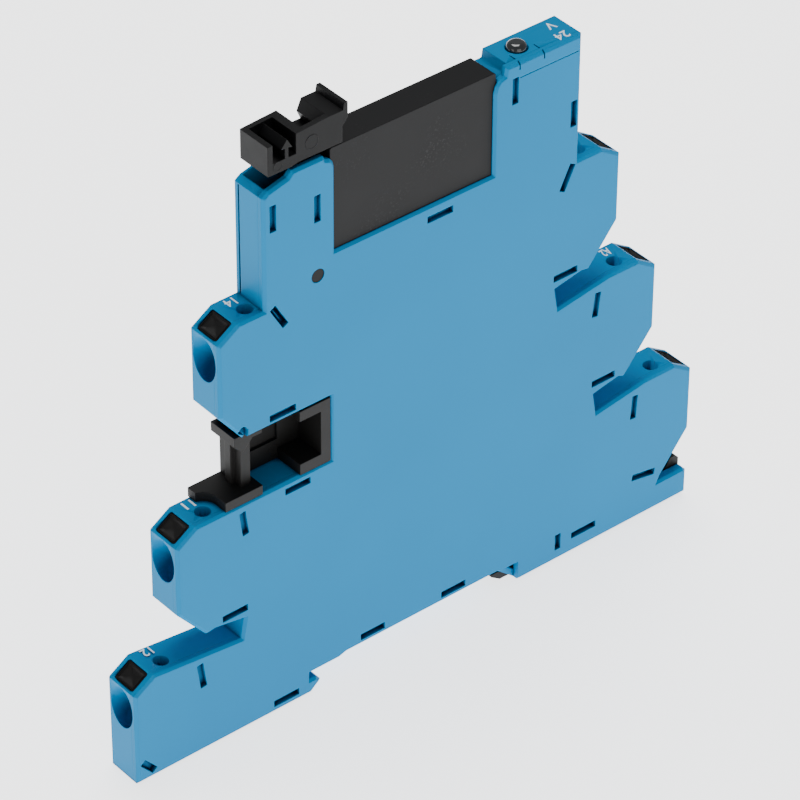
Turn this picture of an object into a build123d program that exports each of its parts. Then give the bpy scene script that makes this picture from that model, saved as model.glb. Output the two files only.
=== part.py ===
"""Interface relay module, 6.2 mm wide, for a 35 mm rail, with a plug-in solid state relay.

Drawing frame: x runs along the rail section, z away from the rail, and depth runs from the
near face of the housing to the far one. The row frame has its origin on the rail seat.
"""
from build123d import *
from math import cos, radians, sin
import os

os.makedirs("parts", exist_ok=True)

# Housing: a deep tray with rim and far wall, closed by a flat cover on the near side
width = 6.2
cover_t = 1.0
far_t = 0.8
rim_t = 1.0
edge_chamfer = 0.4
inner_face = width - far_t

# Rail seat and hook
rail_width = 35.0
hook_root_x = 30.4
hook_lip_t = 2.4
hook_tip_x = 32.0
seat_z = 3.6
floor_z = 4.0
rail_mid_x = hook_root_x + rail_width / 2
clip_foot_x = 64.2
clip_foot_z = 0.6
clip_foot_toe_x = 68.2

# Terminal noses: front face x, and height of the flat top
nose = {
    "14": (15.4, 68.9),
    "11": (7.7, 39.2),
    "12": (0.0, 17.7),
    "a1": (84.9, 69.4),
    "a2": (92.6, 47.2),
    "a3": (100.5, 25.3),
}
slope_run = 3.4
slope_rise = 2.2
nose_block = 5.3

# Towers and relay pocket
tower_left_x = 23.0
tower_left_z = 88.9
tower_right_x = 77.2
tower_right_z = 89.7
window_left_x = 34.9
window_right_x = 61.9
window_floor_z = 73.4
relay_length = 28.0
relay_height = 16.4
relay_depth = 4.85
relay_gap = 0.2
relay_side_gap = 0.05
lip_t = 0.45
relay_mid_x = (window_left_x + window_right_x) / 2
relay_left_x = relay_mid_x - relay_length / 2
relay_bottom_z = window_floor_z - 0.4
pocket_left_x = relay_left_x - relay_gap
pocket_right_x = relay_left_x + relay_length + relay_gap
pocket_floor_z = relay_bottom_z - relay_gap
relay_near = inner_face - relay_side_gap - relay_depth

# Wire entries, test holes and release buttons, set out from the nose corner
wire_tilt = 45.0
wire_drop = 5.8
funnel_r = 2.4
funnel_length = 4.2
funnel_cone = 1.6
wire_r = 1.5
wire_length = 9.5
test_r = 1.15
test_in = 6.1
test_depth = 2.25
test_length = 2.5
test_boss = 2.7
button_length = 3.1
button_width = 4.0
button_head_t = 1.0
button_travel = 1.2
button_gap = 0.1
button_sink = 0.1
plunger_t = 1.15
plunger_length = 6.4
slope_angle = 32.9

# Clamping spring and current bar
leaf_t = 0.35
metal_near = 2.0
bar_t = 0.7
bar_drop = 13.3
bar_in = 6.7
loop_r = 1.0
loop_in = 11.0
loop_drop = 5.2

# Socket contacts and relay pins, from the left end of the relay
pin_in = {"14": 6.0, "11": 11.2, "12": 16.4, "a2": 20.6, "a1": 24.8}
pin_t = 0.5
pin_w = 0.9
pin_length = 3.8
fork_gap = 0.1
fork_leaf = 0.3
fork_top_z = pocket_floor_z - rim_t - 0.1
fork_length = 4.4

# Retaining and ejecting lever
pivot_x = 31.9
pivot_z = 70.75
pivot_r = 1.0
pivot_gap = 0.05
lever_near = 2.2
lever_t = 1.8
thumb_near = 0.25
thumb_wall = 0.8
thumb_bottom_z = 89.5
thumb_left_x = 24.1
thumb_right_x = 37.2

# Circuit board with indicator
board_t = 0.8
board_left_x = 64.6
board_right_x = 71.8
board_bottom_z = 52.0
board_top_z = 86.0
led_x = 68.2
led_r = 1.5
led_top_z = tower_right_z + 0.9

# Cap grooves of the right tower
cap_grooves = [66.2, 70.45]
cap_line_z = 87.3
groove_w = 0.18
groove_t = 0.15

# Rail clip
clip_gap = 0.15
clip_near = 1.6
clip_w = 3.2
clip_z = 1.5
clip_bar_t = 1.4
clip_travel = 2.0
clip_tip_x = hook_root_x + rail_width - 1.0
clip_end_x = 100.2
clip_tab_length = 3.8
clip_tab_z = 6.8
notch_z = 5.2

# Carrier between the noses of terminals 14 and 11
slot_x = 34.0
slot_top_z = 49.9
carrier_gap = 0.1
carrier_frame_x = 28.7
carrier_web_t = 1.0
carrier_post_x = 19.8
carrier_post_t = 1.6
carrier_foot_t = 1.5


def drawing(depth):
    """The drawing's plane at a depth behind the near face."""
    return Plane(origin=(-rail_mid_x, depth - width / 2, -seat_z), x_dir=(1, 0, 0), z_dir=(0, -1, 0))


def spot(x, depth, z):
    """A point of the drawing frame in the row frame."""
    return Vector(x - rail_mid_x, depth - width / 2, z - seat_z)


def side_of(name):
    """+1 for a nose on the left, whose inside lies towards +x, and -1 on the right."""
    return -1 if name.startswith("a") else 1


def inward(name, dx, dz):
    """A drawing point set out from a nose's corner, dx inwards and dz up."""
    x, z = nose[name]
    return (x + side_of(name) * dx, z + dz)


def through(near, far):
    """Extrudes the pending sketch at the depth near through to the depth far."""
    return -(far - near)


def nose_points(name, heel_z, toe):
    """A nose from its toe below, up its front face and over the button slope."""
    x, top = nose[name]
    corner = (x + side_of(name) * slope_run, top)
    return [toe, (x, heel_z), (x, top - slope_rise), corner]


def housing_outline(left, right, floor):
    """The housing's outline with the relay pocket's left, right and floor given."""
    left_side = (
        [(0, 0), (nose["12"][0], nose["12"][1] - slope_rise), (nose["12"][0] + slope_run, nose["12"][1])]
        + [(18.3, 16.1), (18.9, 19.4), (13.9, 20.2)]
        + nose_points("11", 25.6, (12.4, 20.0))
        + [(slot_x, nose["11"][1]), (slot_x, slot_top_z)]
        + nose_points("14", 55.0, (19.3, slot_top_z))
        + [(tower_left_x, nose["14"][1]), (tower_left_x, tower_left_z - 2.3), (24.0, tower_left_z - 1.6)]
        + [(27.2, tower_left_z - 0.8), (28.0, tower_left_z), (left - 1.8, tower_left_z)]
        + [(left - 1.5, tower_left_z - 0.6), (left - 0.7, tower_left_z - 0.9)]
        + [(left - 0.2, tower_left_z - 1.5), (left, tower_left_z - 2.3)]
    )
    pocket = [(left, floor), (right, floor), (right, 86.4), (right + 0.3, 87.4), (right + 0.9, 88.1)]
    right_side = (
        [(right + 1.8, 88.4), (right + 2.0, tower_right_z), (tower_right_x, tower_right_z), (tower_right_x, nose["a1"][1])]
        + nose_points("a1", 56.3, (79.8, 50.0))[::-1]
        + [(78.5, 50.2), (73.8, 49.3), (74.4, 45.8), (83.5, nose["a2"][1])]
        + nose_points("a2", 34.4, (87.3, 27.9))[::-1]
        + [(86.3, 28.3), (81.7, 27.4), (82.3, 23.9), (91.5, nose["a3"][1])]
        + nose_points("a3", 12.6, (95.4, notch_z + 1.0))[::-1]
        + [(94.9, notch_z), (99.9, notch_z), (100.5, notch_z - 0.6), (100.5, clip_foot_z)]
    )
    rail_side = [
        (clip_foot_toe_x, clip_foot_z),
        (clip_foot_x, floor_z),
        (36.5, floor_z),
        (35.2, seat_z),
        (hook_root_x - 0.3, seat_z),
        (hook_root_x - 0.3, hook_lip_t),
        (hook_tip_x - 0.8, hook_lip_t),
        (hook_tip_x, hook_lip_t - 0.9),
        (hook_tip_x - 1.8, 0),
    ]
    return left_side + pocket + right_side + rail_side


def button_plane(name):
    """Plane on a nose's slope: x up the slope, y along the depth, z out of the slope."""
    x, top = inward(name, slope_run / 2, -slope_rise / 2)
    up = Vector(side_of(name) * cos(radians(slope_angle)), 0, sin(radians(slope_angle)))
    out = Vector(-side_of(name) * sin(radians(slope_angle)), 0, cos(radians(slope_angle)))
    return Plane(origin=spot(x, width / 2, top), x_dir=up, z_dir=out)


def wire_plane(name, along):
    """Plane across a wire entry, a distance along its axis inwards from the nose's front face."""
    x, z = inward(name, along * cos(radians(wire_tilt)), -wire_drop - along * sin(radians(wire_tilt)))
    axis = Vector(side_of(name) * cos(radians(wire_tilt)), 0, -sin(radians(wire_tilt)))
    return Plane(origin=spot(x, width / 2, z), x_dir=(0, 1, 0), z_dir=axis)


def wire_entry(name):
    """The space of one wire entry: a wide mouth, a cone and the bore to the clamp."""
    with BuildPart() as entry:
        with BuildSketch(wire_plane(name, -funnel_r - 1)):
            Circle(funnel_r)
        extrude(amount=funnel_r + 1 + funnel_length)
        with BuildSketch(wire_plane(name, funnel_length)):
            Circle(funnel_r)
        with BuildSketch(wire_plane(name, funnel_length + funnel_cone)):
            Circle(wire_r)
        loft()
        with BuildSketch(wire_plane(name, funnel_length + funnel_cone)):
            Circle(wire_r)
        extrude(amount=wire_length - funnel_length - funnel_cone)
    return entry.part


wire_entries = [wire_entry(name) for name in nose]

# Snap slots of the cover: middle x and z, length, and angle of the long side
slot_w = 1.05
post_top = 0.75
post_gap = 0.1
snap_slots = [
    (76.0, 77.5, 4.1, 90),
    (25.8, 51.2, 4.4, 0),
    (75.4, 51.3, 4.3, 0),
    (83.2, 29.5, 4.3, 0),
    (17.2, 21.3, 4.3, 0),
    (28.2, 37.7, 4.3, 0),
    (25.8, 1.6, 4.4, 0),
    (41.2, 5.4, 4.3, 0),
    (55.9, 5.4, 4.4, 0),
    (80.4, 3.7, 4.6, 0),
    (91.8, 8.1, 4.4, -10),
    (75.5, 3.9, 2.7, 90),
    (25.4, 67.1, 4.2, -60),
    (75.2, 67.4, 4.2, 64),
    (1.9, 2.3, 3.0, -49),
]
blind_slots = [
    (24.6, 83.0, 4.1, 90),
    (31.9, 81.4, 4.2, 90),
    (65.5, 85.5, 4.1, 90),
    (52.7, 71.3, 4.4, 0),
    (11.3, 13.4, 4.2, -82),
    (19.0, 35.9, 4.0, -82),
    (81.4, 43.3, 4.0, 83),
    (89.4, 21.5, 4.0, 86),
]


with BuildPart() as housing_cover:
    with BuildSketch(drawing(0)):
        with BuildLine():
            Polyline(*housing_outline(window_left_x, window_right_x, window_floor_z), close=True)
        make_face()
    extrude(amount=through(0, cover_t))
    chamfer(housing_cover.faces().sort_by(Axis.Y)[0].edges(), edge_chamfer)
    # Snap slots, and the blind ones over the chambers
    with BuildSketch(drawing(0)):
        for x, z, length, angle in snap_slots:
            with Locations((x, z)):
                Rectangle(length, slot_w, rotation=angle)
    extrude(amount=through(0, cover_t), mode=Mode.SUBTRACT)
    with BuildSketch(drawing(0)):
        for x, z, length, angle in blind_slots:
            with Locations((x, z)):
                Rectangle(length, slot_w, rotation=angle)
    extrude(amount=through(0, post_top), mode=Mode.SUBTRACT)
    # Rebate behind the window lip, where the relay's ends reach under the cover
    with BuildSketch(drawing(lip_t)):
        with Locations((relay_mid_x, pocket_floor_z)):
            Rectangle(pocket_right_x - pocket_left_x, 20, align=(Align.CENTER, Align.MIN))
    extrude(amount=through(lip_t, cover_t), mode=Mode.SUBTRACT)
    # Bearing of the lever, the round relief under nose 14 and the clip's window
    with BuildSketch(drawing(0)):
        with Locations((pivot_x, pivot_z)):
            Circle(pivot_r + pivot_gap)
        with Locations((19.1, 51.4)):
            Circle(0.65)
        with Locations((19.6, slot_top_z)):
            Rectangle(0.8, 3)
        with Locations((clip_foot_x - 0.2, 0)):
            Rectangle(clip_foot_toe_x - clip_foot_x, floor_z + 0.1, align=(Align.MIN, Align.MIN))
    extrude(amount=through(0, cover_t), mode=Mode.SUBTRACT)
    add(wire_entries, mode=Mode.SUBTRACT)
    # Fine grooves of the right tower's cap
    with BuildSketch(drawing(0)):
        for x in cap_grooves:
            with Locations((x, tower_right_z)):
                Rectangle(groove_w, 2.2)
        with Locations((cap_grooves[0], cap_line_z)):
            Rectangle(tower_right_x - cap_grooves[0] - 0.6, groove_w / 2, align=(Align.MIN, Align.CENTER))
    extrude(amount=through(0, edge_chamfer + groove_t), mode=Mode.SUBTRACT)

with BuildPart() as housing_tray:
    with BuildSketch(drawing(cover_t)):
        with BuildLine():
            Polyline(*housing_outline(pocket_left_x, pocket_right_x, pocket_floor_z), close=True)
        make_face()
    extrude(amount=through(cover_t, width))
    chamfer(housing_tray.faces().sort_by(Axis.Y)[-1].edges(), edge_chamfer)
    with BuildSketch(drawing(cover_t)):
        with BuildLine():
            Polyline(*housing_outline(pocket_left_x, pocket_right_x, pocket_floor_z), close=True)
        make_face()
        offset(amount=-rim_t, kind=Kind.INTERSECTION)
        for name in nose:
            x, z = inward(name, nose_block / 2, 0)
            with Locations((x, z + 1)):
                Rectangle(nose_block, 24 if name == "12" else 16, align=(Align.CENTER, Align.MAX),
                          mode=Mode.SUBTRACT)
            with Locations(inward(name, nose_block + test_boss / 2, -test_length)):
                Rectangle(test_boss, test_length + 1, align=(Align.CENTER, Align.MIN), mode=Mode.SUBTRACT)
    extrude(amount=through(cover_t, inner_face), mode=Mode.SUBTRACT)
    # Snap posts that stand in the cover's slots
    with BuildSketch(drawing(post_top)):
        for x, z, length, angle in snap_slots:
            with Locations((x, z)):
                Rectangle(length - 2 * post_gap, slot_w - 2 * post_gap, rotation=angle)
    extrude(amount=through(post_top, inner_face))
    # Far wall behind the relay
    with BuildSketch(drawing(inner_face)):
        with Locations((relay_mid_x, pocket_floor_z - rim_t)):
            Rectangle(relay_length + 4, 16.2, align=(Align.CENTER, Align.MIN))
    extrude(amount=through(inner_face, width))
    add(wire_entries, mode=Mode.SUBTRACT)
    for name in nose:
        # Shaft of the release button and its plunger, open to the clamp chamber
        with BuildSketch(button_plane(name)):
            RectangleRounded(button_length + 2 * button_gap, button_width + 2 * button_gap, 0.4)
        extrude(amount=-(button_sink + button_head_t + button_travel + button_gap), mode=Mode.SUBTRACT)
        with BuildSketch(button_plane(name)):
            with Locations(((button_length - plunger_t) / 2, 0)):
                Rectangle(plunger_t + 2 * button_gap, button_width - 0.6 + 2 * button_gap)
        extrude(amount=-(plunger_length + button_travel + 1.0), mode=Mode.SUBTRACT)
        # Test hole in the flat top
        x, z = inward(name, test_in, 0.5)
        with BuildSketch(Plane(origin=spot(x, test_depth, z), x_dir=(1, 0, 0), z_dir=(0, 0, 1))):
            Circle(test_r)
        extrude(amount=-(test_length + 0.5), mode=Mode.SUBTRACT)
    # Open top of the left tower for the lever, and the slot for its toe under the relay
    with BuildSketch(drawing(cover_t)):
        with Locations((tower_left_x + rim_t, tower_left_z + 1)):
            Rectangle(pocket_left_x - 0.5 - tower_left_x - rim_t, 4, align=(Align.MIN, Align.MAX))
    extrude(amount=through(cover_t, inner_face), mode=Mode.SUBTRACT)
    with BuildSketch(drawing(lever_near - 0.3)):
        with Locations((pocket_left_x - rim_t - 0.2, pocket_floor_z + 1.6)):
            Rectangle(4.4, 4.6, align=(Align.MIN, Align.MAX))
    extrude(amount=through(lever_near - 0.3, lever_near + lever_t + 0.3), mode=Mode.SUBTRACT)
    # Passages for the relay's pins
    with BuildSketch(drawing(metal_near)):
        with Locations([(relay_left_x + dx, pocket_floor_z) for dx in pin_in.values()]):
            Rectangle(pin_t + 2 * fork_leaf + 0.8, 3 * rim_t)
    extrude(amount=through(metal_near, metal_near + 2.4), mode=Mode.SUBTRACT)
    # Bearing of the lever in the far wall
    with BuildSketch(drawing(inner_face)):
        with Locations((pivot_x, pivot_z)):
            Circle(pivot_r + pivot_gap)
    extrude(amount=through(inner_face, width), mode=Mode.SUBTRACT)
    # Fine grooves of the right tower's top
    with BuildSketch(drawing(cover_t)):
        with Locations([(x, tower_right_z) for x in cap_grooves]):
            Rectangle(groove_w, 2 * groove_t)
    extrude(amount=through(cover_t, width / 2 - 0.9), mode=Mode.SUBTRACT)
    # Hole of the indicator
    with BuildSketch(Plane(origin=spot(led_x, width / 2, tower_right_z + 1), z_dir=(0, 0, 1))):
        Circle(led_r + 0.1)
    extrude(amount=-(rim_t + 1.5), mode=Mode.SUBTRACT)
    # Channel of the rail clip, from the rail side to the far end, and its tab's window
    with BuildSketch(drawing(clip_near - clip_gap)):
        with Locations((clip_tip_x - 1, clip_z - clip_gap)):
            Rectangle(50, clip_bar_t + 2 * clip_gap, align=(Align.MIN, Align.MIN))
        with Locations((clip_foot_x - 0.5, 0)):
            Rectangle(clip_foot_toe_x - clip_foot_x + 1.5, floor_z + 0.2, align=(Align.MIN, Align.MIN))
            Rectangle(clip_foot_toe_x - clip_foot_x + clip_travel + 1.4, clip_z, align=(Align.MIN, Align.MIN))
        with Locations((clip_end_x - clip_tab_length - 0.6, clip_z - clip_gap)):
            Rectangle(8, clip_tab_z + 2 * clip_gap - clip_z, align=(Align.MIN, Align.MIN))
    extrude(amount=through(clip_near - clip_gap, clip_near + clip_w + clip_gap), mode=Mode.SUBTRACT)
    # Guide rib over the rail clip
    with BuildSketch(drawing(cover_t)):
        with Locations((clip_foot_toe_x + 2, clip_z + clip_bar_t + clip_gap)):
            Rectangle(24, 0.9, align=(Align.MIN, Align.MIN))
    extrude(amount=through(cover_t, inner_face))


def release_button(name):
    """A push button with its dimpled head in the slope and its plunger towards the spring."""
    head = button_plane(name).offset(-button_sink)
    with BuildPart() as button:
        with BuildSketch(head):
            RectangleRounded(button_length, button_width, 0.3)
        extrude(amount=-button_head_t)
        with BuildSketch(head.offset(-button_head_t)):
            with Locations(((button_length - plunger_t) / 2, 0)):
                Rectangle(plunger_t, button_width - 0.6)
        extrude(amount=-(plunger_length - button_head_t))
        with BuildSketch(head):
            Circle(0.55)
        extrude(amount=-0.4, mode=Mode.SUBTRACT)
    return button.part


def clamp_spring(name):
    """A bent leaf: its slanted leg closes on the current bar, its straight leg stands on it."""
    left, right = loop_in - loop_r, loop_in + loop_r
    foot = -bar_drop + bar_t / 2
    with BuildPart() as spring:
        with BuildSketch(drawing(metal_near)):
            with BuildLine():
                Line(inward(name, bar_in + 1.1, foot + 0.2), inward(name, left, -loop_drop))
                ThreePointArc(
                    inward(name, left, -loop_drop),
                    inward(name, loop_in, -loop_drop + loop_r),
                    inward(name, right, -loop_drop),
                )
                Line(inward(name, right, -loop_drop), inward(name, right, foot))
            trace(line_width=leaf_t)
        extrude(amount=through(metal_near, inner_face))
    return spring.part


def conductor(route, fork_x=None):
    """A strip bent along a route on edge to the far wall, with a fork contact where it has one."""
    with BuildPart() as strip:
        with BuildSketch(drawing(metal_near)):
            with BuildLine():
                if len(route) > 2:
                    FilletPolyline(*route, radius=1.2)
                else:
                    Polyline(*route)
            trace(line_width=bar_t)
            if fork_x:
                half = (pin_t + fork_leaf) / 2 + fork_gap
                foot = fork_top_z - fork_length
                with BuildLine():
                    Polyline(
                        (fork_x - half, fork_top_z), (fork_x - half, foot),
                        (fork_x + half, foot), (fork_x + half, fork_top_z),
                    )
                trace(line_width=fork_leaf)
        extrude(amount=through(metal_near, inner_face))
    return strip.part


def pin_x(name):
    """The place of a relay pin along the drawing."""
    return relay_left_x + pin_in[name]


fork_foot_z = fork_top_z - fork_length
conductors = {
    "conductor_14": (
        [inward("14", bar_in, -bar_drop), (34.0, nose["14"][1] - bar_drop), (pin_x("14"), 62.0),
         (pin_x("14"), fork_foot_z)],
        pin_x("14"),
    ),
    "conductor_11": (
        [inward("11", bar_in, -bar_drop), (36.5, nose["11"][1] - bar_drop), (pin_x("11"), 35.0),
         (pin_x("11"), fork_foot_z)],
        pin_x("11"),
    ),
    "conductor_12": (
        [inward("12", bar_in, -bar_drop), (17.0, nose["12"][1] - bar_drop), (22.0, 8.6), (43.5, 8.6),
         (pin_x("12"), 16.0), (pin_x("12"), fork_foot_z)],
        pin_x("12"),
    ),
    "conductor_a1": (
        [inward("a1", bar_in, -bar_drop), (board_right_x, nose["a1"][1] - bar_drop)],
        None,
    ),
    "conductor_a2": (
        [inward("a2", bar_in, -bar_drop), (76.0, nose["a2"][1] - bar_drop), (board_right_x - 1.3, 39.4),
         (board_right_x - 1.3, board_bottom_z)],
        None,
    ),
    "conductor_a3": (
        [inward("a3", bar_in, -bar_drop), (76.0, nose["a3"][1] - bar_drop), (board_left_x + 2.4, 21.0),
         (board_left_x + 2.4, board_bottom_z)],
        None,
    ),
    "coil_link_a1": (
        [(pin_x("a1"), fork_foot_z), (pin_x("a1"), 63.0), (board_left_x, 63.0)],
        pin_x("a1"),
    ),
    "coil_link_a2": (
        [(pin_x("a2"), fork_foot_z), (pin_x("a2"), 57.0), (board_left_x, 57.0)],
        pin_x("a2"),
    ),
}

with BuildPart() as ejector_lever:
    thumb_top = [(thumb_left_x, 94.0), (29.4, 94.3), (33.9, 94.6), (36.4, 94.6), (36.6, 95.6)]
    with BuildSketch(drawing(thumb_near)):
        with BuildLine():
            Polyline(
                (thumb_left_x, thumb_bottom_z), *thumb_top, (thumb_right_x, 95.6), (thumb_right_x, 93.3),
                (36.3, 92.2), (36.3, thumb_bottom_z + 0.25), (29.0, thumb_bottom_z + 0.25),
                (28.0, thumb_bottom_z), close=True,
            )
        make_face()
    extrude(amount=through(thumb_near, width - thumb_near))
    # Label tray on the left, open to the top and to the near side
    with BuildSketch(drawing(thumb_near)):
        with Locations((thumb_left_x + thumb_wall, 91.2)):
            Rectangle(28.7 - thumb_left_x - thumb_wall, 6, align=(Align.MIN, Align.MIN))
    extrude(amount=through(thumb_near, width - thumb_near - thumb_wall), mode=Mode.SUBTRACT)
    with BuildSketch(drawing(thumb_near)):
        with BuildLine():
            Polyline(
                (26.9, 91.2), (27.45, 91.2), (27.45, 92.7), (28.1, 92.5), (27.25, 94.0), (26.3, 92.8),
                (26.9, 92.7), close=True,
            )
        make_face()
    extrude(amount=through(thumb_near, width - thumb_near - thumb_wall))
    # Saddle on the right, open to the top and to the far side
    with BuildSketch(drawing(thumb_near + thumb_wall)):
        with BuildLine():
            Polyline((30.0, 97), (30.0, 91.5), (33.9, 91.5), (33.3, 92.9), (34.1, 94.7), (34.1, 97), close=True)
        make_face()
    extrude(amount=through(thumb_near + thumb_wall, width), mode=Mode.SUBTRACT)
    # Stem, hub and toe in the tower
    with BuildSketch(drawing(lever_near)):
        with BuildLine():
            Polyline(
                (pivot_x - 1.5, pivot_z), (pivot_x - 1.9, thumb_bottom_z + 0.5),
                (pivot_x + 0.9, thumb_bottom_z + 0.5), (pivot_x + 0.7, pivot_z + 2.5),
                (relay_left_x - 0.5, pocket_floor_z), (37.0, pocket_floor_z), (37.0, pocket_floor_z - 0.8),
                (pivot_x + 1.2, pivot_z - 1.0), close=True,
            )
        make_face()
        with Locations((pivot_x, pivot_z)):
            Circle(1.7)
    extrude(amount=through(lever_near, lever_near + lever_t))
    with BuildSketch(drawing(0.05)):
        with Locations((pivot_x, pivot_z)):
            Circle(pivot_r)
    extrude(amount=through(0.05, width - 0.05))

with BuildPart() as relay_case:
    with BuildSketch(drawing(relay_near)):
        with Locations((relay_mid_x, relay_bottom_z)):
            Rectangle(relay_length, relay_height, align=(Align.CENTER, Align.MIN))
    extrude(amount=through(relay_near, relay_near + relay_depth))
    fillet(relay_case.edges().filter_by(Axis.Y).group_by(Axis.Z)[-1], 0.4)
    with BuildSketch(drawing(relay_near + 0.6)):
        with Locations((relay_mid_x, relay_bottom_z)):
            Rectangle(relay_length - 1.2, relay_height - 0.8, align=(Align.CENTER, Align.MIN))
    extrude(amount=through(relay_near + 0.6, relay_near + relay_depth - 0.6), mode=Mode.SUBTRACT)

relay_mid_depth = relay_near + relay_depth / 2
relay_base_t = 1.5
relay_pin_names = ["14", "11", "a2", "a1"]
relay_pin_spots = [(pin_x(name), relay_bottom_z + 4.4) for name in relay_pin_names]
pin_near = relay_mid_depth - pin_w / 2
pin_far = relay_mid_depth + pin_w / 2

with BuildPart() as relay_pins:
    with BuildSketch(drawing(pin_near)):
        with Locations(relay_pin_spots):
            Rectangle(pin_t, pin_length + 4.4, align=(Align.CENTER, Align.MAX))
    extrude(amount=through(pin_near, pin_far))

with BuildPart() as relay_base:
    with BuildSketch(drawing(relay_near + 0.6)):
        with Locations((relay_mid_x, relay_bottom_z)):
            Rectangle(relay_length - 1.2, relay_base_t, align=(Align.CENTER, Align.MIN))
    extrude(amount=through(relay_near + 0.6, relay_near + relay_depth - 0.6))
    with BuildSketch(drawing(pin_near)):
        with Locations(relay_pin_spots):
            Rectangle(pin_t, 10, align=(Align.CENTER, Align.MAX))
    extrude(amount=through(pin_near, pin_far), mode=Mode.SUBTRACT)

relay_board_t = 0.6
with BuildPart() as relay_board:
    with BuildSketch(drawing(pin_far)):
        with Locations((relay_mid_x, relay_bottom_z + relay_base_t)):
            Rectangle(relay_length - 2.0, relay_height - relay_base_t - 1.4, align=(Align.CENTER, Align.MIN))
    extrude(amount=through(pin_far, pin_far + relay_board_t))

with BuildPart() as output_switch:
    with BuildSketch(drawing(pin_far - 1.7)):
        with Locations((relay_left_x + 8.2, relay_bottom_z + 10.4)):
            Rectangle(6.6, 6.2)
    extrude(amount=through(pin_far - 1.7, pin_far))

with BuildPart() as optocoupler:
    with BuildSketch(drawing(pin_far - 1.6)):
        with Locations((relay_left_x + 20.4, relay_bottom_z + 10.4)):
            Rectangle(4.6, 6.4)
    extrude(amount=through(pin_far - 1.6, pin_far))

with BuildPart() as jumper_carrier:
    slot_floor_z = nose["11"][1]
    # Box at the slot's end, with its pocket
    with BuildSketch(drawing(carrier_gap)):
        with Locations((carrier_frame_x, slot_floor_z)):
            Rectangle(slot_x - carrier_gap - carrier_frame_x, slot_top_z - carrier_gap - slot_floor_z,
                      align=(Align.MIN, Align.MIN))
    extrude(amount=through(carrier_gap, width - carrier_gap))
    with BuildSketch(drawing(carrier_gap)):
        with Locations((carrier_frame_x, slot_floor_z + 1.8)):
            Rectangle(slot_x - carrier_gap - carrier_post_t - carrier_frame_x, 7.2, align=(Align.MIN, Align.MIN))
    extrude(amount=through(carrier_gap, width - carrier_gap - carrier_web_t), mode=Mode.SUBTRACT)
    # Arm along the far side, with a thin web above it
    with BuildSketch(drawing(width - carrier_gap - carrier_web_t)):
        with Locations((carrier_post_x, slot_floor_z)):
            Rectangle(carrier_frame_x - carrier_post_x, 3.2, align=(Align.MIN, Align.MIN))
    extrude(amount=through(width - carrier_gap - carrier_web_t, width - carrier_gap))
    with BuildSketch(drawing(width - carrier_gap - 0.5)):
        with Locations((carrier_post_x, slot_floor_z)):
            Rectangle(carrier_frame_x - carrier_post_x, slot_top_z - carrier_gap - slot_floor_z,
                      align=(Align.MIN, Align.MIN))
    extrude(amount=through(width - carrier_gap - 0.5, width - carrier_gap))
    # Post with its rib and the flange under the nose above
    with BuildSketch(drawing(1.6)):
        with Locations((carrier_post_x, slot_floor_z)):
            Rectangle(carrier_post_t, slot_top_z - carrier_gap - slot_floor_z, align=(Align.MIN, Align.MIN))
    extrude(amount=through(1.6, width - carrier_gap))
    with BuildSketch(drawing(2.9)):
        with Locations((carrier_post_x, slot_floor_z)):
            Rectangle(0.7, slot_top_z - carrier_gap - slot_floor_z, align=(Align.MAX, Align.MIN))
    extrude(amount=through(2.9, 4.1))
    with BuildSketch(drawing(1.0)):
        with BuildLine():
            Polyline(
                (18.4, slot_top_z - carrier_gap), (23.0, slot_top_z - carrier_gap), (23.0, slot_top_z - 1.2),
                (carrier_post_x + 1.6, slot_top_z - 1.2), (carrier_post_x, slot_top_z - 3.0),
                (18.4, slot_top_z - 1.6), close=True,
            )
        make_face()
    extrude(amount=through(1.0, width - carrier_gap))
    # Foot on the nose below, cut clear of the test hole
    with BuildSketch(drawing(carrier_gap)):
        with Locations((14.3, slot_floor_z)):
            Rectangle(22.3 - 14.3, carrier_foot_t, align=(Align.MIN, Align.MIN))
    extrude(amount=through(carrier_gap, width - carrier_gap))
    test_x, test_z = inward("11", test_in, 0)
    with BuildSketch(Plane(origin=spot(test_x, test_depth, test_z), x_dir=(1, 0, 0), z_dir=(0, 0, 1))):
        Circle(test_r + 1.1)
        with Locations((0, -test_depth)):
            Rectangle(2 * (test_r + 1.1), 2 * test_depth)
    extrude(amount=carrier_foot_t, mode=Mode.SUBTRACT)

with BuildPart() as rail_clip:
    with BuildSketch(drawing(clip_near)):
        with BuildLine():
            Polyline(
                (clip_tip_x, hook_lip_t), (clip_tip_x, hook_lip_t - 0.4), (clip_tip_x + 1.6, 0.9),
                (clip_foot_toe_x, 0.9), (clip_foot_toe_x + 0.6, clip_z),
                (clip_end_x, clip_z), (clip_end_x, clip_tab_z - 0.6), (clip_end_x - 0.6, clip_tab_z),
                (clip_end_x - 1.6, clip_tab_z), (clip_end_x - clip_tab_length, clip_z + clip_bar_t),
                (clip_foot_toe_x, clip_z + clip_bar_t), (clip_tip_x + 2.0, clip_z + clip_bar_t),
                (clip_tip_x + 1.6, hook_lip_t), close=True,
            )
        make_face()
        # Spring leaf cut free along the bar
        with Locations((80.0, clip_z + 0.5)):
            Rectangle(14, 0.35, mode=Mode.SUBTRACT)
    extrude(amount=through(clip_near, clip_near + clip_w))

with BuildPart() as circuit_board:
    with BuildSketch(drawing(inner_face - board_t)):
        with Locations((board_left_x, board_bottom_z)):
            Rectangle(board_right_x - board_left_x, board_top_z - board_bottom_z, align=(Align.MIN, Align.MIN))
    extrude(amount=through(inner_face - board_t, inner_face))

board_face = inner_face - board_t
with BuildPart() as rectifier:
    with BuildSketch(drawing(board_face - 2.2)):
        with Locations((led_x, 70.0)):
            Rectangle(4.6, 3.8)
    extrude(amount=through(board_face - 2.2, board_face))

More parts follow.
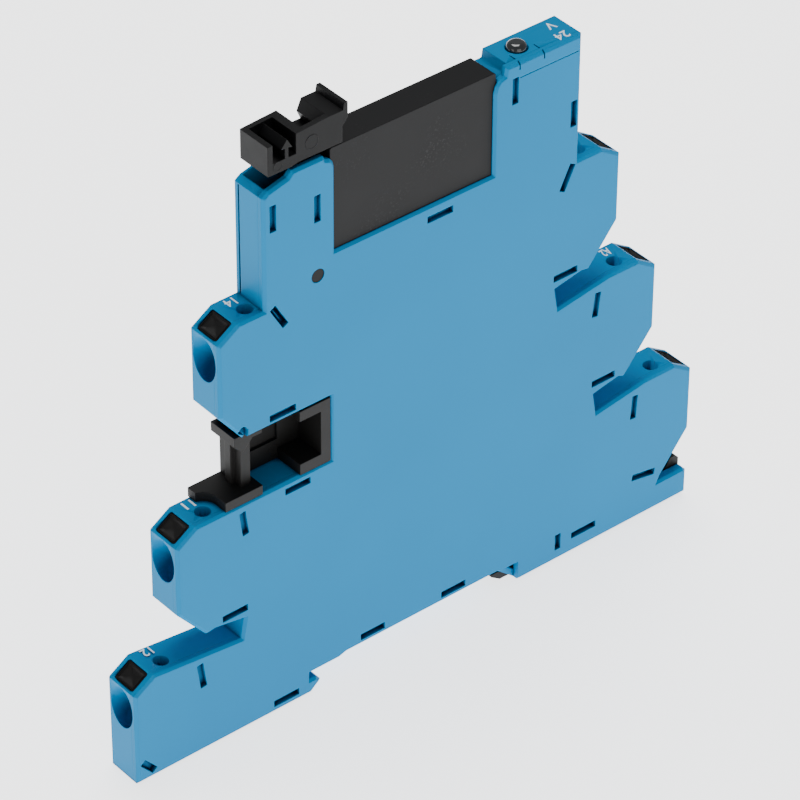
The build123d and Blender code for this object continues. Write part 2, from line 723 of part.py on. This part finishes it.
with BuildPart() as suppressor:
    with BuildSketch(drawing(board_face - 2.0)):
        with Locations((led_x, 61.0)):
            Rectangle(4.2, 5.4)
    extrude(amount=through(board_face - 2.0, board_face))

with BuildPart() as resistors:
    with BuildSketch(drawing(board_face - 0.6)):
        with Locations((led_x - 1.5, 77.5), (led_x + 1.5, 77.5)):
            Rectangle(1.6, 3.2)
    extrude(amount=through(board_face - 0.6, board_face))

led_base_z = board_top_z - 1.4
with BuildPart() as indicator:
    with BuildSketch(Plane(origin=spot(led_x, width / 2, led_base_z), z_dir=(0, 0, 1))):
        Circle(led_r)
    extrude(amount=led_top_z - led_base_z)
    fillet(indicator.faces().sort_by(Axis.Z)[-1].edges(), led_r * 0.6)

with BuildPart() as indicator_leads:
    with BuildSketch(drawing(board_face - 0.5)):
        with Locations((led_x - 0.65, led_base_z), (led_x + 0.65, led_base_z)):
            Rectangle(0.5, 2.4, align=(Align.CENTER, Align.MAX))
    extrude(amount=through(board_face - 0.5, board_face))

pieces = {
    "housing_cover": housing_cover.part,
    "housing_tray": housing_tray.part,
    "ejector_lever": ejector_lever.part,
    "relay_case": relay_case.part,
    "relay_base": relay_base.part,
    "relay_pins": relay_pins.part,
    "relay_board": relay_board.part,
    "output_switch": output_switch.part,
    "optocoupler": optocoupler.part,
    "jumper_carrier": jumper_carrier.part,
    "rail_clip": rail_clip.part,
    "circuit_board": circuit_board.part,
    "rectifier": rectifier.part,
    "suppressor": suppressor.part,
    "resistors": resistors.part,
    "indicator": indicator.part,
    "indicator_leads": indicator_leads.part,
}
for name in nose:
    pieces[f"release_button_{name}"] = release_button(name)
    pieces[f"clamp_spring_{name}"] = clamp_spring(name)
for name, (route, fork_x) in conductors.items():
    pieces[name] = conductor(route, fork_x)

for name, piece in pieces.items():
    piece.label = name
    export_step(piece, f"parts/{name}.step")
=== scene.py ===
# %% [markdown]
# # Solid state interface relay module
#
# A slim blue module that snaps on to a mounting rail: three stepped terminal noses a side, a
# black plug-in relay in a window at the top, a black ejector lever on the left tower and a dark
# indicator dome on the right one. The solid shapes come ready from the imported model. This lesson
# dresses them: each plastic and metal gets its finish, the release buttons are built again with
# their recess, the housing's button windows are cleared, and the prints and small moulded marks
# that are too fine for the solids are added as pieces of their own.

from math import cos, pi, radians, sin

import bpy
from mathutils import Euler, Matrix, Vector


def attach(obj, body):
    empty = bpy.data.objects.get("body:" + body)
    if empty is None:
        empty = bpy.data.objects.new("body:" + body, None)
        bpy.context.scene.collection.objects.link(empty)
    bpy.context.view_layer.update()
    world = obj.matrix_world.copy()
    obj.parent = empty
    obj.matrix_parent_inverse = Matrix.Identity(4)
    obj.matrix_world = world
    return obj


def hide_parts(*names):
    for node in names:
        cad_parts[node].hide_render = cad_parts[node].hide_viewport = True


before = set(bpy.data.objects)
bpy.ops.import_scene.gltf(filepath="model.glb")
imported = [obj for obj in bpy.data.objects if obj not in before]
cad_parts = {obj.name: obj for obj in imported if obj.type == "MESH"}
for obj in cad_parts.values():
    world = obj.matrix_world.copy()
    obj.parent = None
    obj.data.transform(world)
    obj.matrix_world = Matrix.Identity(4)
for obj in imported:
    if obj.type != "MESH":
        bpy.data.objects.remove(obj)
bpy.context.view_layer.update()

# %% [markdown]
# ## Units
#
# Blender works in metres, and this object is ten centimetres long, so every size here is
# written in millimetres and turned into metres by one small function.

# %% Millimetres
MM = 0.001


def mm(*values):
    """A point or a size in metres from millimetres."""
    return Vector(values) * MM


print("one millimetre is", MM, "of Blender's units")

# %% [markdown]
# ## Helpers for every material
#
# Colours are easiest to name as the hex values that a colour picker shows. Those are sRGB, and
# the renderer mixes light in linear values, so one function converts them. Another adds a
# shader node, fills its sockets and makes its links in one call, which keeps each material
# below short enough to read as a recipe. The Mix node gives its number and its colour sockets
# the same names, so its colour sockets are found by their position.

# %% Colour and node helpers
def colour(hex_value):
    """Linear RGBA from an sRGB hex value."""
    channels = [int(hex_value[i:i + 2], 16) / 255 for i in (0, 2, 4)]
    linear = [c / 12.92 if c <= 0.04045 else ((c + 0.055) / 1.055) ** 2.4 for c in channels]
    return (*linear, 1.0)


def fill_sockets(owner, node, sockets):
    """Sets a socket that is given a value, and links one that is given another node's output."""
    for socket, value in sockets.items():
        if isinstance(value, bpy.types.NodeSocket):
            owner.node_tree.links.new(value, node.inputs[socket])
        else:
            node.inputs[socket].default_value = value


def add_node(material, kind, sockets=None, **settings):
    """Adds a node with its settings, and fills its sockets."""
    node = material.node_tree.nodes.new(kind)
    for setting, value in settings.items():
        setattr(node, setting, value)
    fill_sockets(material, node, sockets or {})
    return node


def new_material(name, sockets):
    """A material and its Principled shader, with the shader's fixed values set."""
    material = bpy.data.materials.new(name)
    material.use_nodes = True
    principled = material.node_tree.nodes["Principled BSDF"]
    fill_sockets(material, principled, sockets)
    return material, principled


def per_mm(size):
    """The texture scale that gives features of this many millimetres."""
    return 1 / (size * MM)


# Positions of a Mix node's two colour inputs and its colour output
mix_first, mix_second, mixed = 6, 7, 2
print("material helpers ready")

# %% [markdown]
# ## The blue housing plastic
#
# Both housing halves are moulded in blue polyamide. Up close such a moulding isn't a flat
# colour: the mould's spark-eroded skin leaves a grain of about a tenth of a millimetre, and the
# sheen wanders slightly where the plastic flowed. The grain is a bump, drawn a little coarser
# than life so that it shows at all. A Bevel node rounds the light on the edges, as a moulded
# edge is never sharp, and leaves the solid's mesh alone. The snap slots look navy in the
# photograph, because little light gets into them. They are shallower in the solid, so an
# occlusion node paints that shade into the colour, darkening it towards navy where walls stand
# close together.

# %% Blue polyamide
def soft_edges(material, principled, radius, grain_size, grain_height):
    """Rounds the shading at the edges and lays a moulded grain over it."""
    place = add_node(material, "ShaderNodeTexCoord")
    edge = add_node(material, "ShaderNodeBevel", {"Radius": radius * MM}, samples=6)
    grain = add_node(material, "ShaderNodeTexNoise",
                     {"Vector": place.outputs["Object"], "Scale": per_mm(grain_size), "Detail": 3.0})
    bump = add_node(material, "ShaderNodeBump",
                    {"Height": grain.outputs["Fac"], "Distance": grain_height * MM, "Strength": 1.0,
                     "Normal": edge.outputs["Normal"]})
    fill_sockets(material, principled, {"Normal": bump.outputs["Normal"]})
    return place


def blue_polyamide():
    """Satin blue moulding with a slow drift in colour and sheen, and painted navy shade in its narrow
    slots.
    """
    material, principled = new_material(
        "blue_polyamide_moulded", {"IOR": 1.53, "Specular IOR Level": 0.06})
    place = soft_edges(material, principled, radius=0.22, grain_size=0.3, grain_height=0.004)
    drift = add_node(material, "ShaderNodeTexNoise",
                     {"Vector": place.outputs["Object"], "Scale": per_mm(22), "Detail": 2.0})
    shade = add_node(material, "ShaderNodeMix",
                     {"Factor": drift.outputs["Fac"],
                      mix_first: colour("0073A4"), mix_second: colour("007BAE")}, data_type="RGBA")
    # Painted shade: an occlusion node darkens the blue towards navy in slots and close corners.
    crevice = add_node(material, "ShaderNodeAmbientOcclusion", {"Distance": 1.2 * MM}, samples=8)
    in_the_open = add_node(material, "ShaderNodeMapRange",
                           {"Value": crevice.outputs["AO"], "From Min": 0.35, "From Max": 0.75})
    blue_with_painted_shade = add_node(material, "ShaderNodeMix",
                        {"Factor": in_the_open.outputs["Result"],
                         mix_first: colour("00254A"), mix_second: shade.outputs[mixed]},
                        data_type="RGBA")
    sheen = add_node(material, "ShaderNodeMapRange",
                     {"Value": drift.outputs["Fac"], "To Min": 0.40, "To Max": 0.50})
    fill_sockets(material, principled,
                 {"Base Color": blue_with_painted_shade.outputs[mixed], "Roughness": sheen.outputs["Result"]})
    return material


housing_blue = blue_polyamide()
print("made", housing_blue.name)

# %% [markdown]
# ## The black mouldings
#
# The lever, the carrier, the buttons and the rail clip are moulded in black polyamide, and the
# relay's case in a dark grey one. They look alike in the dark, so what tells them apart is the
# sheen: the lever is satin, and the relay's case is flatter and carries light scuffs from
# handling. The scuffs are a fine noise that shows only where a much larger noise lets it, so
# that they gather in patches instead of covering the case evenly. The grain of these mouldings
# is drawn coarser than life too.

# %% Black and dark grey plastics
def black_moulding(name, hex_value, roughness, grain_size, shine):
    """Black polyamide with a satin moulded skin."""
    material, principled = new_material(
        name, {"IOR": 1.5, "Base Color": colour(hex_value), "Specular IOR Level": shine})
    place = soft_edges(material, principled, radius=0.12, grain_size=grain_size, grain_height=0.006)
    sheen = add_node(material, "ShaderNodeTexNoise",
                     {"Vector": place.outputs["Object"], "Scale": per_mm(3), "Detail": 3.0})
    wander = 0.06
    spread = add_node(material, "ShaderNodeMapRange",
                      {"Value": sheen.outputs["Fac"],
                       "To Min": roughness - wander, "To Max": roughness + wander})
    fill_sockets(material, principled, {"Roughness": spread.outputs["Result"]})
    return material


def scuffed_case():
    """Dark grey polyester with pale scuffs in patches."""
    material, principled = new_material(
        "grey_polyester_scuffed", {"IOR": 1.5, "Specular IOR Level": 0.14})
    place = soft_edges(material, principled, radius=0.2, grain_size=0.25, grain_height=0.005)
    patch = add_node(material, "ShaderNodeTexNoise",
                     {"Vector": place.outputs["Object"], "Scale": per_mm(9), "Detail": 2.0})
    mark = add_node(material, "ShaderNodeTexNoise",
                    {"Vector": place.outputs["Object"], "Scale": per_mm(0.3), "Detail": 6.0})
    where = add_node(material, "ShaderNodeMapRange",
                     {"Value": patch.outputs["Fac"], "From Min": 0.5, "From Max": 0.75})
    sharp = add_node(material, "ShaderNodeMapRange",
                     {"Value": mark.outputs["Fac"], "From Min": 0.56, "From Max": 0.70})
    both = add_node(material, "ShaderNodeMath",
                    {0: where.outputs["Result"], 1: sharp.outputs["Result"]}, operation="MULTIPLY")
    shade = add_node(material, "ShaderNodeMix",
                     {"Factor": both.outputs["Value"],
                      mix_first: colour("0F0F10"), mix_second: colour("2B2B2C")}, data_type="RGBA")
    sheen = add_node(material, "ShaderNodeMapRange",
                     {"Value": patch.outputs["Fac"], "To Min": 0.46, "To Max": 0.58})
    fill_sockets(material, principled,
                 {"Base Color": shade.outputs[mixed], "Roughness": sheen.outputs["Result"]})
    return material


black_satin = black_moulding(
    "black_polyamide_satin", "0A0A0B", roughness=0.46, grain_size=0.3, shine=0.12)
black_matt = black_moulding(
    "black_polyamide_matt", "131211", roughness=0.55, grain_size=0.4, shine=0.2)
relay_grey = scuffed_case()
print("made", black_satin.name, black_matt.name, relay_grey.name)

# %% [markdown]
# ## Metals, boards and chips
#
# Inside the housing sit leaf springs of rolled stainless steel, copper current bars and tinned
# relay pins. Rolled strip has fine lines along the way it was rolled, so each metal takes a
# noise that is stretched along one axis. The circuit boards are glass fibre under green solder
# mask, whose weave just shows, and the chips are flat black epoxy.

# %% Metals
def rolled_metal(name, hex_value, roughness, stretch):
    """Rolled strip with lines drawn out along one axis."""
    material, principled = new_material(name, {"Metallic": 1.0, "Base Color": colour(hex_value)})
    place = add_node(material, "ShaderNodeTexCoord")
    drawn = add_node(material, "ShaderNodeMapping",
                     {"Vector": place.outputs["Object"], "Scale": stretch})
    lines = add_node(material, "ShaderNodeTexNoise",
                     {"Vector": drawn.outputs["Vector"], "Scale": per_mm(0.08), "Detail": 2.0})
    smoother, rougher = 0.08, 0.1
    spread = add_node(material, "ShaderNodeMapRange",
                      {"Value": lines.outputs["Fac"],
                       "To Min": roughness - smoother, "To Max": roughness + rougher})
    fill_sockets(material, principled, {"Roughness": spread.outputs["Result"]})
    return material


along_x = (0.1, 1, 1)
along_z = (1, 1, 0.1)
spring_steel = rolled_metal("stainless_spring_strip", "C9CACB", roughness=0.3, stretch=along_x)
copper_bar = rolled_metal("copper_current_bar", "D79A6E", roughness=0.34, stretch=along_x)
tinned_pin = rolled_metal("tinned_copper_pin", "D6D4CC", roughness=0.32, stretch=along_z)
print("made", spring_steel.name, copper_bar.name, tinned_pin.name)


# %% Boards, chips and the indicator's lens
def board_green():
    """Solder mask over woven glass fibre."""
    material, principled = new_material(
        "solder_mask_on_glass_fibre", {"IOR": 1.5, "Roughness": 0.3})
    place = add_node(material, "ShaderNodeTexCoord")
    weave = add_node(material, "ShaderNodeTexChecker",
                     {"Vector": place.outputs["Object"], "Scale": per_mm(0.5),
                      "Color1": colour("14512F"), "Color2": colour("185A35")})
    fill_sockets(material, principled, {"Base Color": weave.outputs["Color"]})
    return material


def black_epoxy():
    """Moulded chip body whose matt skin varies a little."""
    material, principled = new_material(
        "epoxy_chip_body", {"IOR": 1.55, "Base Color": colour("141416")})
    place = add_node(material, "ShaderNodeTexCoord")
    skin = add_node(material, "ShaderNodeTexNoise",
                    {"Vector": place.outputs["Object"], "Scale": per_mm(0.2), "Detail": 2.0})
    spread = add_node(material, "ShaderNodeMapRange",
                      {"Value": skin.outputs["Fac"], "To Min": 0.42, "To Max": 0.6})
    fill_sockets(material, principled, {"Roughness": spread.outputs["Result"]})
    return material


def dark_lens():
    """Unlit indicator: smoked epoxy, polished by its mould, with a slightly clouded core."""
    material, principled = new_material(
        "smoked_epoxy_lens", {"IOR": 1.55, "Roughness": 0.12, "Coat Weight": 0.6})
    place = add_node(material, "ShaderNodeTexCoord")
    cloud = add_node(material, "ShaderNodeTexNoise",
                     {"Vector": place.outputs["Object"], "Scale": per_mm(1.2), "Detail": 2.0})
    shade = add_node(material, "ShaderNodeMix",
                     {"Factor": cloud.outputs["Fac"],
                      mix_first: colour("050809"), mix_second: colour("11181B")}, data_type="RGBA")
    fill_sockets(material, principled, {"Base Color": shade.outputs[mixed]})
    return material


mask_green = board_green()
chip_black = black_epoxy()
lens_dark = dark_lens()
print("made", mask_green.name, chip_black.name, lens_dark.name)

# %% [markdown]
# ## Dressing the solids
#
# Each solid now takes its one material. A table from the node's name to its finish says it at a
# glance, and names that repeat for each terminal are matched by how they start. The solids keep
# their own meshes: only the material slot changes.

# %% Give every node its finish
finish_of = {
    "housing": housing_blue,
    "ejector_lever": black_satin,
    "release_button": black_satin,
    "jumper_carrier": black_matt,
    "rail_clip": black_matt,
    "relay_case": relay_grey,
    "relay_base": relay_grey,
    "relay_pins": tinned_pin,
    "indicator_leads": tinned_pin,
    "indicator": lens_dark,
    "clamp_spring": spring_steel,
    "conductor": copper_bar,
    "coil_link": copper_bar,
    "relay_board": mask_green,
    "circuit_board": mask_green,
}

for name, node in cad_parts.items():
    starts = [start for start in finish_of if name.startswith(start)]
    finish = finish_of[max(starts, key=len)] if starts else chip_black
    node.data.materials.clear()
    node.data.materials.append(finish)
    print(name, "->", finish.name)

# %% [markdown]
# ## Where the noses are
#
# The terminals sit in stepped noses, three a side, and most of the pieces that follow are
# placed on them. Each nose is known by the x of its front face and the height of its flat top,
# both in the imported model's frame. The two sides mirror each other in how they face but not in
# their heights, so the places are a table and the direction is a small function.

# %% Front face, top and direction of every nose
nose_front = {"14": -32.5, "11": -40.2, "12": -47.9, "a1": 37.0, "a2": 44.7, "a3": 52.6}
nose_top = {"14": 65.3, "11": 35.6, "12": 14.1, "a1": 65.8, "a2": 43.6, "a3": 21.7}


def inwards(name):
    """+1 on the contact side, whose inside lies towards +X, and -1 on the coil side."""
    return -1 if name.startswith("a") else 1


print("noses:", ", ".join(nose_front))

# %% [markdown]
# ## The release buttons
#
# Each terminal has a small black button in its slope, pushed with a screwdriver to open the
# clamp. Its head is sunk a little under the slope and has a shallow pyramid pressed into it,
# so that the blade centres itself. The solid's head is plain, so the whole button is built
# again: a cube is stretched to the head's size, its top is inset and pushed in, and poking
# that face sinks its middle into four facets. One button is modelled and copied to every nose.

# %% Helpers that select in code
def deselect():
    """Nothing is selected and nothing is in edit mode."""
    if bpy.context.object and bpy.context.object.mode != "OBJECT":
        bpy.ops.object.mode_set(mode="OBJECT")
    bpy.ops.object.select_all(action="DESELECT")


def edit(piece, mode):
    """Opens a piece in edit mode with nothing selected."""
    deselect()
    bpy.context.view_layer.objects.active = piece
    piece.select_set(True)
    bpy.ops.object.mode_set(mode="EDIT")
    bpy.ops.mesh.select_mode(type=mode)
    bpy.ops.mesh.select_all(action="DESELECT")


def pick_faces(piece, test):
    """Selects the faces whose normal passes the test."""
    bpy.ops.object.mode_set(mode="OBJECT")
    for face in piece.data.polygons:
        face.select = test(face.normal)
    bpy.ops.object.mode_set(mode="EDIT")


def pick_edges(piece, test):
    """Selects the edges whose two ends pass the test."""
    bpy.ops.object.mode_set(mode="OBJECT")
    for edge in piece.data.edges:
        edge.select = test(*[piece.data.vertices[v].co for v in edge.vertices])
    bpy.ops.object.mode_set(mode="EDIT")


def settle(piece, place=None):
    """Applies a piece's place, so that its object sits at the origin."""
    deselect()
    if place is not None:
        piece.matrix_world = place
    bpy.context.view_layer.objects.active = piece
    piece.select_set(True)
    bpy.ops.object.transform_apply(location=True, rotation=True, scale=True)
    return piece


# A face looks along an axis when its normal has more than this share of it
faces_along = 0.9
print("selection helpers ready")

# %% The button's head, lying flat with its face up
head_length = 3.1
head_width = 4.0
head_sink = 0.14
head_thickness = 0.88
head_corner = 0.3
recess_border = 0.3
recess_step = 0.12
recess_point = 0.4

deselect()
bpy.ops.mesh.primitive_cube_add(size=1, location=mm(0, 0, -head_sink - head_thickness / 2))
button = bpy.context.object
button.name = "release_button"
button.scale = mm(head_length, head_width, head_thickness)
settle(button)
edit(button, "FACE")
pick_faces(button, lambda normal: normal.z > faces_along)
bpy.ops.mesh.inset(thickness=recess_border * MM)
bpy.ops.mesh.extrude_region_move(TRANSFORM_OT_translate={"value": mm(0, 0, -recess_step)})
bpy.ops.mesh.poke(offset=-recess_point * MM)
bpy.ops.mesh.select_mode(type="EDGE")
pick_edges(button, lambda a, b: abs(a.z - b.z) > head_thickness * MM / 2)
bpy.ops.mesh.bevel(offset=head_corner * MM, segments=3)
deselect()
print("head faces:", len(button.data.polygons))

# %% The button's plunger, which begins inside the head
plunger_thickness = 1.15
plunger_width = 3.4
plunger_start = 0.64
plunger_reach = 6.4
plunger_tip_edge = 0.2

bpy.ops.mesh.primitive_cube_add(
    size=1,
    location=mm((head_length - plunger_thickness) / 2, 0, -(plunger_start + plunger_reach) / 2))
plunger = bpy.context.object
plunger.scale = mm(plunger_thickness, plunger_width, plunger_reach - plunger_start)
settle(plunger)
edit(plunger, "FACE")
pick_faces(plunger, lambda normal: normal.z < -faces_along)
bpy.ops.mesh.bevel(offset=plunger_tip_edge * MM, segments=2)
deselect()
plunger.select_set(True)
button.select_set(True)
bpy.context.view_layer.objects.active = button
bpy.ops.object.join()
button.data.materials.append(black_matt)
print("button faces:", len(button.data.polygons))

# %% A copy of the button in every nose
slope_run = 3.4
slope_rise = 2.2
slope_angle = radians(32.9)


def slope_place(name):
    """Where a nose's slope is: x up the slope and z out of it."""
    side = inwards(name)
    up = Vector((side * cos(slope_angle), 0, sin(slope_angle)))
    out = Vector((-side * sin(slope_angle), 0, cos(slope_angle)))
    turn = Matrix((up, out.cross(up), out)).transposed().to_4x4()
    middle = mm(nose_front[name] + side * slope_run / 2, 0, nose_top[name] - slope_rise / 2)
    return Matrix.Translation(middle) @ turn


def copy_to_slope(piece, name, nose):
    """A copy of a piece, with its own mesh, set on a nose's slope."""
    copy = bpy.data.objects.new(name, piece.data.copy())
    bpy.context.collection.objects.link(copy)
    return settle(copy, slope_place(nose))


for name in nose_front:
    copy = copy_to_slope(button, f"button_{name}", name)
    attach(copy, f"button_{name}")
    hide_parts(f"release_button_{name}")
bpy.data.objects.remove(button)
print("buttons:", len(nose_front))

# %% [markdown]
# ## Open button windows, and a groove
#
# The tray's six button windows are closed over their upper half by a film a fraction of a
# micron thick, where the slope and the window's cut are a few thousandths of a degree apart.
# The real windows are open, so a copy of the tray is merged into one skin and a rounded block
# is subtracted at each slope. The block stays a hair inside the window's own walls, so that
# the walls are left as they are. The same cut makes the fine groove down the left tower's end
# face. Normals weighted by area then keep the broad walls flat in the light where small
# rounded corners run into them.

# %% A rounded block as large as a window, on every slope
window_length = 3.3
window_width = 4.2
window_corner = 0.4
hair = 0.004
block_height = 0.3
block_middle = 0.1

deselect()
bpy.ops.mesh.primitive_cube_add(size=1, location=mm(0, 0, block_middle))
block = bpy.context.object
block.scale = mm(window_length - 2 * hair, window_width - 2 * hair, block_height)
settle(block)
edit(block, "EDGE")
pick_edges(block, lambda a, b: abs(a.z - b.z) > block_height * MM / 2)
bpy.ops.mesh.bevel(offset=window_corner * MM, segments=6)
deselect()
blocks = [copy_to_slope(block, f"window_{name}", name) for name in nose_front]
bpy.data.objects.remove(block)
print("window blocks:", len(blocks))

# %% A bar as large as the tower's groove, half of it outside the end face
tower_end = -24.9
groove_width = 0.25
groove_depth = 0.5
groove_y = 1.95
end_gap = 0.2
tower_corner = 83.0
groove_foot = nose_top["14"] + end_gap
groove_head = tower_corner - end_gap

deselect()
bpy.ops.mesh.primitive_cube_add(
    size=1, location=mm(tower_end, groove_y, (groove_foot + groove_head) / 2))
groove = bpy.context.object
groove.scale = mm(2 * groove_depth, groove_width, groove_head - groove_foot)
blocks.append(settle(groove))

deselect()
for block in blocks:
    block.select_set(True)
bpy.context.view_layer.objects.active = blocks[0]
bpy.ops.object.join()
cutter = bpy.context.object
print("cutter faces:", len(cutter.data.polygons))

# %% The tray with its windows cleared and its groove cut
merge_distance = 0.00001
sharp_above = radians(25)

tray = bpy.data.objects.new("tray_with_open_windows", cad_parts["housing_tray"].data.copy())
bpy.context.collection.objects.link(tray)
edit(tray, "VERT")
bpy.ops.mesh.select_all(action="SELECT")
bpy.ops.mesh.remove_doubles(threshold=merge_distance * MM)
deselect()
bpy.context.view_layer.objects.active = tray
tray.select_set(True)
opening = tray.modifiers.new("open_windows", "BOOLEAN")
opening.operation = "DIFFERENCE"
opening.solver = "EXACT"
opening.object = cutter
bpy.ops.object.modifier_apply(modifier=opening.name)
bpy.ops.object.shade_smooth_by_angle(angle=sharp_above)
shading = tray.modifiers.new("flat_walls", "WEIGHTED_NORMAL")
shading.keep_sharp = True
bpy.ops.object.modifier_apply(modifier=shading.name)
bpy.data.objects.remove(cutter)
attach(tray, "housing")
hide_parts("housing_tray")
print("tray faces:", len(tray.data.polygons))

# %% [markdown]
# ## Printed numbers
#
# The terminals' numbers and the plain voltage are pad-printed in white on the flat tops, and
# they are read from the far side, so on this model they stand upside down. Text is the right
# start for them: Blender sets the letters, they are made a mesh, and the mesh is then squeezed
# to the narrow digits' real height and width. The ink stands a hundredth of a millimetre proud
# of the plastic, which keeps the two surfaces apart, and goes as deep into it.

# %% White ink
def white_ink():
    """Pad-printing ink, matt and thin enough to be a little uneven."""
    material, principled = new_material("white_pad_print_ink", {"IOR": 1.5, "Roughness": 0.55})
    place = add_node(material, "ShaderNodeTexCoord")
    cover = add_node(material, "ShaderNodeTexNoise",
                     {"Vector": place.outputs["Object"], "Scale": per_mm(0.3), "Detail": 3.0})
    shade = add_node(material, "ShaderNodeMix",
                     {"Factor": cover.outputs["Fac"],
                      mix_first: colour("CFE6F2"), mix_second: colour("F4FAFD")}, data_type="RGBA")
    fill_sockets(material, principled, {"Base Color": shade.outputs[mixed]})
    return material


ink = white_ink()
print("made", ink.name)

# %% Words set as text and squeezed to their printed size
letter_weight = 0.012
letter_depth = 0.5
ink_thickness = 0.02


def print_words(name, words, middle, height, width):
    """Words on a face that looks up, as tall along Y and as wide along X as given."""
    deselect()
    bpy.ops.object.text_add(location=(0, 0, 0))
    text = bpy.context.object
    text.data.body = words
    text.data.offset = letter_weight
    text.data.extrude = letter_depth
    bpy.ops.object.convert(target="MESH")
    text = bpy.context.object
    text.name = name
    bpy.ops.object.origin_set(type="ORIGIN_GEOMETRY", center="BOUNDS")
    size = text.dimensions.copy()
    stretch = Matrix.Diagonal(
        (width * MM / size.x, height * MM / size.y, ink_thickness * MM / size.z, 1))
    settle(text, Matrix.Translation(mm(*middle)) @ Matrix.Rotation(pi, 4, "Z") @ stretch)
    text.data.materials.append(ink)
    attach(text, "housing")
    return text


# %% The numbers on the noses and the voltage on the tower
terminal_words = {"14": "14", "11": "11", "12": "12", "a1": "A1", "a2": "A2"}
number_in = 5.55
number_y = 1.5
tower_top = 86.1
figure_middle = (26.9, -1.6, tower_top)
unit_middle = (27.2, 1.15, tower_top)

prints = []
for name, words in terminal_words.items():
    place = (nose_front[name] + inwards(name) * number_in, number_y, nose_top[name])
    prints.append(print_words(f"number_{name}", words, place, height=1.6, width=1.55))
prints.append(print_words("voltage_figure", "24", figure_middle, height=1.55, width=2.1))
prints.append(print_words("voltage_unit", "V", unit_middle, height=1.6, width=1.4))
print("prints:", len(prints))

# %% [markdown]
# ## Ejector marks
#
# A moulding is pushed out of its mould by round pins, and each leaves a faint ring on the
# surface. The photograph shows them on the lever and on the carrier's arm. A ring starts as
# a thin disc let into the face, and its front is inset and pushed back to leave a fine lip.

# %% Rings on the lever and the carrier
disc_thickness = 0.05
lip_width = 0.1
lip_height = 0.015
thumb_face = -2.85
arm_face = 2.0


def ejector_mark(name, body, place, radius, finish):
    """A faint round mark on a face that looks towards the near side."""
    deselect()
    bpy.ops.mesh.primitive_cylinder_add(
        vertices=40, radius=radius * MM, depth=disc_thickness * MM,
        location=mm(*place), rotation=(pi / 2, 0, 0))
    mark = bpy.context.object
    mark.name = name
    settle(mark)
    edit(mark, "FACE")
    pick_faces(mark, lambda normal: normal.y < -faces_along)
    bpy.ops.mesh.inset(thickness=lip_width * MM)
    bpy.ops.mesh.extrude_region_move(TRANSFORM_OT_translate={"value": mm(0, lip_height, 0)})
    deselect()
    mark.data.materials.append(finish)
    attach(mark, body)
    return mark


marks = [
    ejector_mark("mark_lever_left", "lever", (-22.2, thumb_face, 86.9), radius=0.75, finish=black_satin),
    ejector_mark("mark_lever_right", "lever", (-16.6, thumb_face, 88.3), radius=1.1, finish=black_satin),
    ejector_mark("mark_carrier_arm", "housing", (-19.8, arm_face, 37.3), radius=0.8, finish=black_matt),
]
print("ejector marks:", len(marks))

# %% [markdown]
# ## Floor, light and camera
#
# The photograph is a product shot on a white ground with no shadow, which is how a module looks
# on a table of opal acrylic that is lit from below. A wide pale floor with a glow of its own
# stands in for it. Broad soft panels hang in front of the module, to its left and over it, and
# the world adds an even fill. The camera stands where the photograph was taken, which was worked
# out from points on the module whose real places are known.

# %% Floor
floor_size = 4000
floor_height = -3.65

opal_acrylic = new_material(
    "lit_opal_acrylic_table",
    {"Base Color": colour("F6F7F8"), "Roughness": 0.9,
     "Emission Color": colour("FFFFFF"), "Emission Strength": 2.2})[0]
deselect()
bpy.ops.mesh.primitive_plane_add(size=floor_size * MM, location=mm(0, 0, floor_height))
floor = bpy.context.object
floor.name = "floor"
floor.data.materials.append(opal_acrylic)
print("floor at z", floor_height)

# %% Lights
def soft_panel(name, place, target, size, power):
    """A square area light that faces its target."""
    deselect()
    bpy.ops.object.light_add(type="AREA", location=mm(*place))
    panel = bpy.context.object
    panel.name = name
    panel.data.size = size * MM
    panel.data.energy = power
    panel.rotation_mode = "QUATERNION"
    panel.rotation_quaternion = (mm(*target) - mm(*place)).to_track_quat("-Z", "Y")
    return panel


module_middle = (0, 0, 45)
soft_panel("front_panel", (-180, -900, 380), module_middle, size=700, power=2.0)
soft_panel("left_panel", (-900, -150, 300), module_middle, size=500, power=0.8)
soft_panel("top_panel", (150, 250, 900), module_middle, size=500, power=6.0)

world = bpy.data.worlds.new("even_fill")
bpy.context.scene.world = world
world.use_nodes = True
fill_sockets(world, world.node_tree.nodes["Background"],
             {"Color": colour("F2F5F8"), "Strength": 0.45})
print("lights ready")

# %% Camera at the photograph's viewpoint
camera_place = (-325.49, -392.21, 424.39)
camera_azimuth = radians(-39.74)
camera_elevation = radians(37.216)
camera_roll = radians(0.297)
lens_length = 211.31
sensor_width = 36.0
near_clip = 50

deselect()
bpy.ops.object.camera_add(location=mm(*camera_place))
camera = bpy.context.object
look = Euler((pi / 2 - camera_elevation, 0, camera_azimuth)).to_matrix()
camera.rotation_euler = (look @ Matrix.Rotation(camera_roll, 3, "Z")).to_euler()
camera.data.sensor_width = sensor_width
camera.data.lens = lens_length
camera.data.clip_start = near_clip * MM
bpy.context.scene.camera = camera
print("camera at", camera_place)
